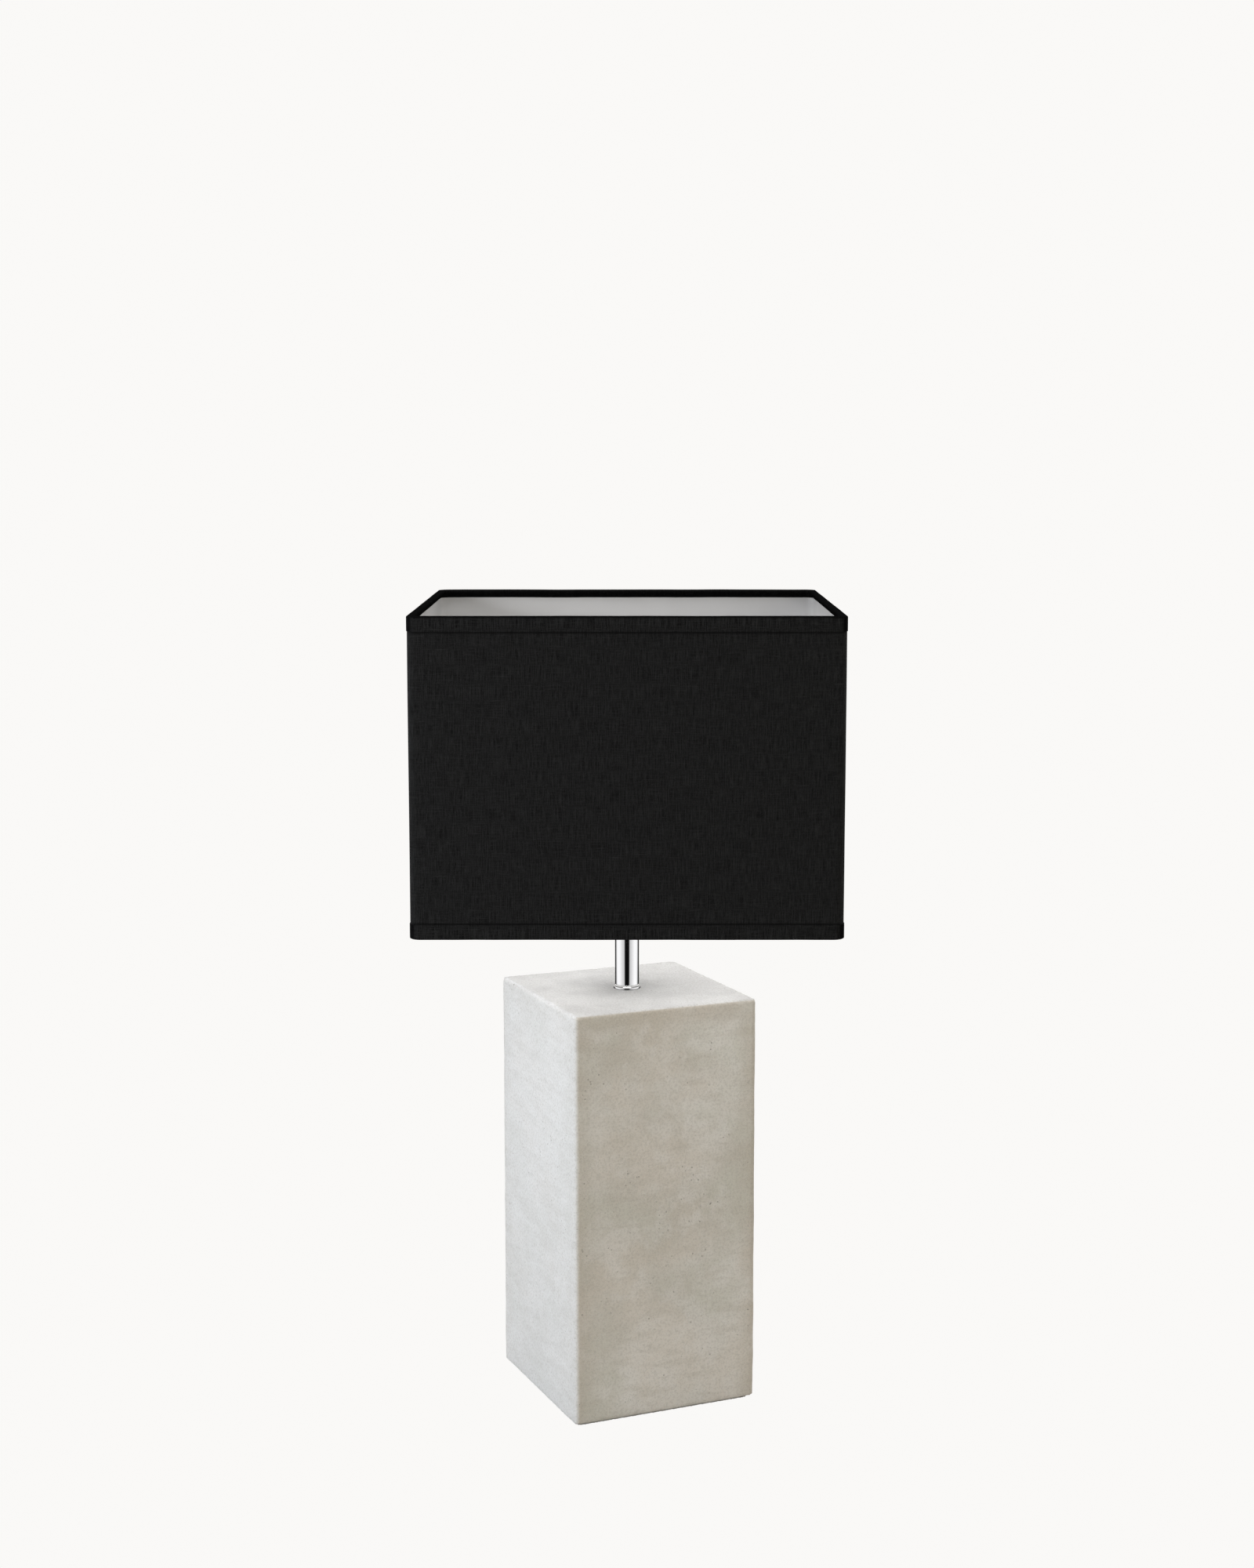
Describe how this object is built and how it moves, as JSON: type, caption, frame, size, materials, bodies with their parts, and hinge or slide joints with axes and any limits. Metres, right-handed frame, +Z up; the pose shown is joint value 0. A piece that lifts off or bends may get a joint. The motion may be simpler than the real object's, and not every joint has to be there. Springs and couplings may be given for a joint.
{
  "type": "table lamp",
  "caption": "Table lamp with a tall square concrete block base, a short chromed stem and a square black fabric shade that turns on its lampholder.",
  "frame": {"origin": "on the stem's axis, on the surface that the felt under the block stands on", "axes": "+Z up along the stem, X and Y square to the shade's sides; the block is turned 23.5 degrees about +Z"},
  "size_m": [0.3, 0.3, 0.598],
  "materials": {
    "concrete": "cast, matte, lightly mottled",
    "brass": "turned",
    "zinc_steel": "zinc plated",
    "felt": "pressed felt",
    "grommet_rubber": "matte",
    "terminal_plastic": "translucent nylon",
    "brown_insulation": "smooth",
    "blue_insulation": "smooth",
    "chrome": "bright",
    "black_plastic": "moulded",
    "holder_ceramic": "fired",
    "black_cotton": "fine plain weave",
    "white_liner": "matte laminate",
    "black_band": "fine plain weave",
    "white_wire": "powder coated",
    "opal_plastic": "opal",
    "white_plastic": "moulded",
    "nickel": "nickel plated",
    "black_glass": "glassy",
    "board_aluminium": "white solder mask"
  },
  "bodies": {
    "base": {"base_block": "concrete", "plate_inserts": "brass", "bottom_plate": "zinc_steel", "plate_screws": "zinc_steel", "base_felt": "felt", "cable_grommet": "grommet_rubber", "terminal_block": "terminal_plastic", "terminal_poles": "brass", "terminal_screw": "zinc_steel", "lead_live": "brown_insulation", "lead_neutral": "blue_insulation", "threaded_tube": "zinc_steel", "stem_nut": "zinc_steel", "lock_washer": "zinc_steel", "large_washer": "zinc_steel", "stem_tube": "chrome", "stem_collar": "chrome", "stem_bushes": "terminal_plastic", "holder_cap": "black_plastic", "cap_set_screw": "zinc_steel", "holder_shell": "black_plastic", "holder_insert": "holder_ceramic", "holder_terminals": "brass", "centre_contact": "brass", "side_contact": "brass"},
    "shade": {"shade_cover": "black_cotton", "shade_liner": "white_liner", "top_band": "black_band", "bottom_band": "black_band", "top_wire": "white_wire", "bottom_wire": "white_wire", "fitter_ring": "white_wire", "fitter_arms": "white_wire"},
    "lock_ring": {"lock_ring": "black_plastic"},
    "bulb": {"bulb_globe": "opal_plastic", "bulb_housing": "white_plastic", "bulb_cap": "nickel", "bulb_insulator": "black_glass", "bulb_contact": "nickel", "led_board": "board_aluminium"}
  },
  "joints": [
    {"name": "shade_turn", "type": "hinge", "parent": "base", "child": "shade", "pos_m": [0, 0, 0.397], "axis": [0, 0, 1], "continuous": true},
    {"name": "lock_ring_turn", "type": "hinge", "parent": "base", "child": "lock_ring", "pos_m": [0, 0, 0.402], "axis": [0, 0, 1], "range_deg": [0, 2700]},
    {"name": "bulb_turn", "type": "hinge", "parent": "base", "child": "bulb", "pos_m": [0, 0, 0.41], "axis": [0, 0, 1], "range_deg": [0, 1440]}
  ]
}
